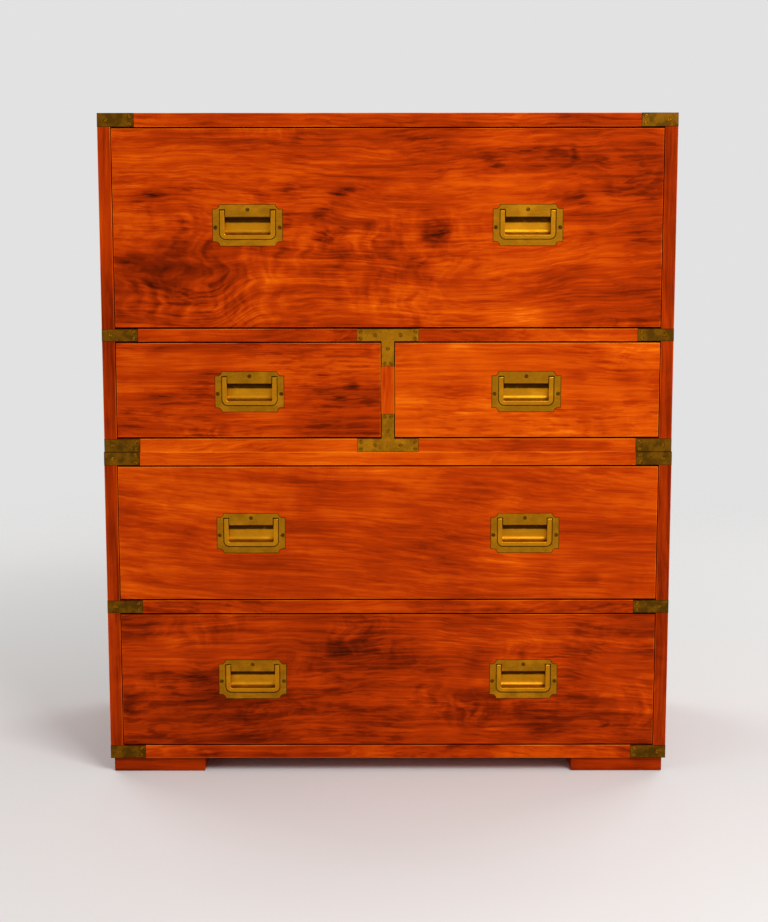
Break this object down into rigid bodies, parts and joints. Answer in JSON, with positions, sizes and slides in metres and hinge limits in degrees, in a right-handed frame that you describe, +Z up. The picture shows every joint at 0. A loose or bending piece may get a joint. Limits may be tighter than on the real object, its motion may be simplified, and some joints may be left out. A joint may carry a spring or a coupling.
{
  "type": "campaign chest",
  "caption": "Chest of drawers in two stacked cases, with flush brass corner straps, recessed drop-bail pulls and block feet.",
  "frame": {"origin": "on the floor, under the middle of the chest's box", "axes": "+Z up, +X to the right as seen from the front, and the drawers open towards -Y"},
  "size_m": [0.916, 0.457, 1.07],
  "materials": {
    "case_wood": "polished reddish hardwood",
    "drawer_front_wood": "polished figured reddish hardwood",
    "lining_wood": "plain oiled secondary wood",
    "back_wood": "plain secondary wood",
    "brass": "aged, dull",
    "bail_brass": "aged, rubbed bright on the bar",
    "screw_brass": "aged"
  },
  "bodies": {
    "lower_case": {"feet": "case_wood", "locating_dowels": "lining_wood", "lower_back_boards": "back_wood", "lower_bottom_board": "case_wood", "lower_bracket_screws": "screw_brass", "lower_brackets": "brass", "lower_drawer_stops": "lining_wood", "lower_dust_panel": "lining_wood", "lower_rail": "case_wood", "lower_runners": "lining_wood", "lower_side_left": "case_wood", "lower_side_right": "case_wood", "lower_top_board": "case_wood"},
    "upper_case": {"short_drawer_guide": "lining_wood", "upper_back_boards": "back_wood", "upper_bottom_board": "case_wood", "upper_bracket_screws": "screw_brass", "upper_brackets": "brass", "upper_divider": "case_wood", "upper_drawer_stops": "lining_wood", "upper_dust_panel": "lining_wood", "upper_rail": "case_wood", "upper_runners": "lining_wood", "upper_side_left": "case_wood", "upper_side_right": "case_wood", "upper_top_board": "case_wood"},
    "deep_drawer": {"deep_drawer_front": "drawer_front_wood", "deep_drawer_sides_and_back": "lining_wood", "deep_drawer_bottom": "lining_wood", "deep_drawer_pulls": "brass", "deep_drawer_pull_fixings": "screw_brass"},
    "deep_drawer_bail_left": {"deep_drawer_bail_left": "bail_brass"},
    "deep_drawer_bail_right": {"deep_drawer_bail_right": "bail_brass"},
    "short_drawer_left": {"short_drawer_left_front": "drawer_front_wood", "short_drawer_left_sides_and_back": "lining_wood", "short_drawer_left_bottom": "lining_wood", "short_drawer_left_pulls": "brass", "short_drawer_left_pull_fixings": "screw_brass"},
    "short_drawer_left_bail": {"short_drawer_left_bail": "bail_brass"},
    "short_drawer_right": {"short_drawer_right_front": "drawer_front_wood", "short_drawer_right_sides_and_back": "lining_wood", "short_drawer_right_bottom": "lining_wood", "short_drawer_right_pulls": "brass", "short_drawer_right_pull_fixings": "screw_brass"},
    "short_drawer_right_bail": {"short_drawer_right_bail": "bail_brass"},
    "middle_drawer": {"middle_drawer_front": "drawer_front_wood", "middle_drawer_sides_and_back": "lining_wood", "middle_drawer_bottom": "lining_wood", "middle_drawer_pulls": "brass", "middle_drawer_pull_fixings": "screw_brass"},
    "middle_drawer_bail_left": {"middle_drawer_bail_left": "bail_brass"},
    "middle_drawer_bail_right": {"middle_drawer_bail_right": "bail_brass"},
    "bottom_drawer": {"bottom_drawer_front": "drawer_front_wood", "bottom_drawer_sides_and_back": "lining_wood", "bottom_drawer_bottom": "lining_wood", "bottom_drawer_pulls": "brass", "bottom_drawer_pull_fixings": "screw_brass"},
    "bottom_drawer_bail_left": {"bottom_drawer_bail_left": "bail_brass"},
    "bottom_drawer_bail_right": {"bottom_drawer_bail_right": "bail_brass"}
  },
  "joints": [
    {"name": "upper_case_lift", "type": "slide", "parent": "lower_case", "child": "upper_case", "axis": [0, 0, 1], "range_m": [0, 0.12]},
    {"name": "deep_drawer_slide", "type": "slide", "parent": "upper_case", "child": "deep_drawer", "axis": [0, -1, 0], "range_m": [0, 0.33]},
    {"name": "deep_drawer_bail_left_hinge", "type": "hinge", "parent": "deep_drawer", "child": "deep_drawer_bail_left", "pos_m": [-0.222, -0.2256, 0.91695], "axis": [-1, 0, 0], "range_deg": [0, 90]},
    {"name": "deep_drawer_bail_right_hinge", "type": "hinge", "parent": "deep_drawer", "child": "deep_drawer_bail_right", "pos_m": [0.222, -0.2256, 0.91695], "axis": [-1, 0, 0], "range_deg": [0, 90]},
    {"name": "short_drawer_left_slide", "type": "slide", "parent": "upper_case", "child": "short_drawer_left", "axis": [0, -1, 0], "range_m": [0, 0.33]},
    {"name": "short_drawer_left_bail_hinge", "type": "hinge", "parent": "short_drawer_left", "child": "short_drawer_left_bail", "pos_m": [-0.222, -0.2256, 0.6527], "axis": [-1, 0, 0], "range_deg": [0, 90]},
    {"name": "short_drawer_right_slide", "type": "slide", "parent": "upper_case", "child": "short_drawer_right", "axis": [0, -1, 0], "range_m": [0, 0.33]},
    {"name": "short_drawer_right_bail_hinge", "type": "hinge", "parent": "short_drawer_right", "child": "short_drawer_right_bail", "pos_m": [0.222, -0.2256, 0.6527], "axis": [-1, 0, 0], "range_deg": [0, 90]},
    {"name": "middle_drawer_slide", "type": "slide", "parent": "lower_case", "child": "middle_drawer", "axis": [0, -1, 0], "range_m": [0, 0.33]},
    {"name": "middle_drawer_bail_left_hinge", "type": "hinge", "parent": "middle_drawer", "child": "middle_drawer_bail_left", "pos_m": [-0.222, -0.2256, 0.4227], "axis": [-1, 0, 0], "range_deg": [0, 90]},
    {"name": "middle_drawer_bail_right_hinge", "type": "hinge", "parent": "middle_drawer", "child": "middle_drawer_bail_right", "pos_m": [0.222, -0.2256, 0.4227], "axis": [-1, 0, 0], "range_deg": [0, 90]},
    {"name": "bottom_drawer_slide", "type": "slide", "parent": "lower_case", "child": "bottom_drawer", "axis": [0, -1, 0], "range_m": [0, 0.33]},
    {"name": "bottom_drawer_bail_left_hinge", "type": "hinge", "parent": "bottom_drawer", "child": "bottom_drawer_bail_left", "pos_m": [-0.222, -0.2256, 0.17955], "axis": [-1, 0, 0], "range_deg": [0, 90]},
    {"name": "bottom_drawer_bail_right_hinge", "type": "hinge", "parent": "bottom_drawer", "child": "bottom_drawer_bail_right", "pos_m": [0.222, -0.2256, 0.17955], "axis": [-1, 0, 0], "range_deg": [0, 90]}
  ]
}
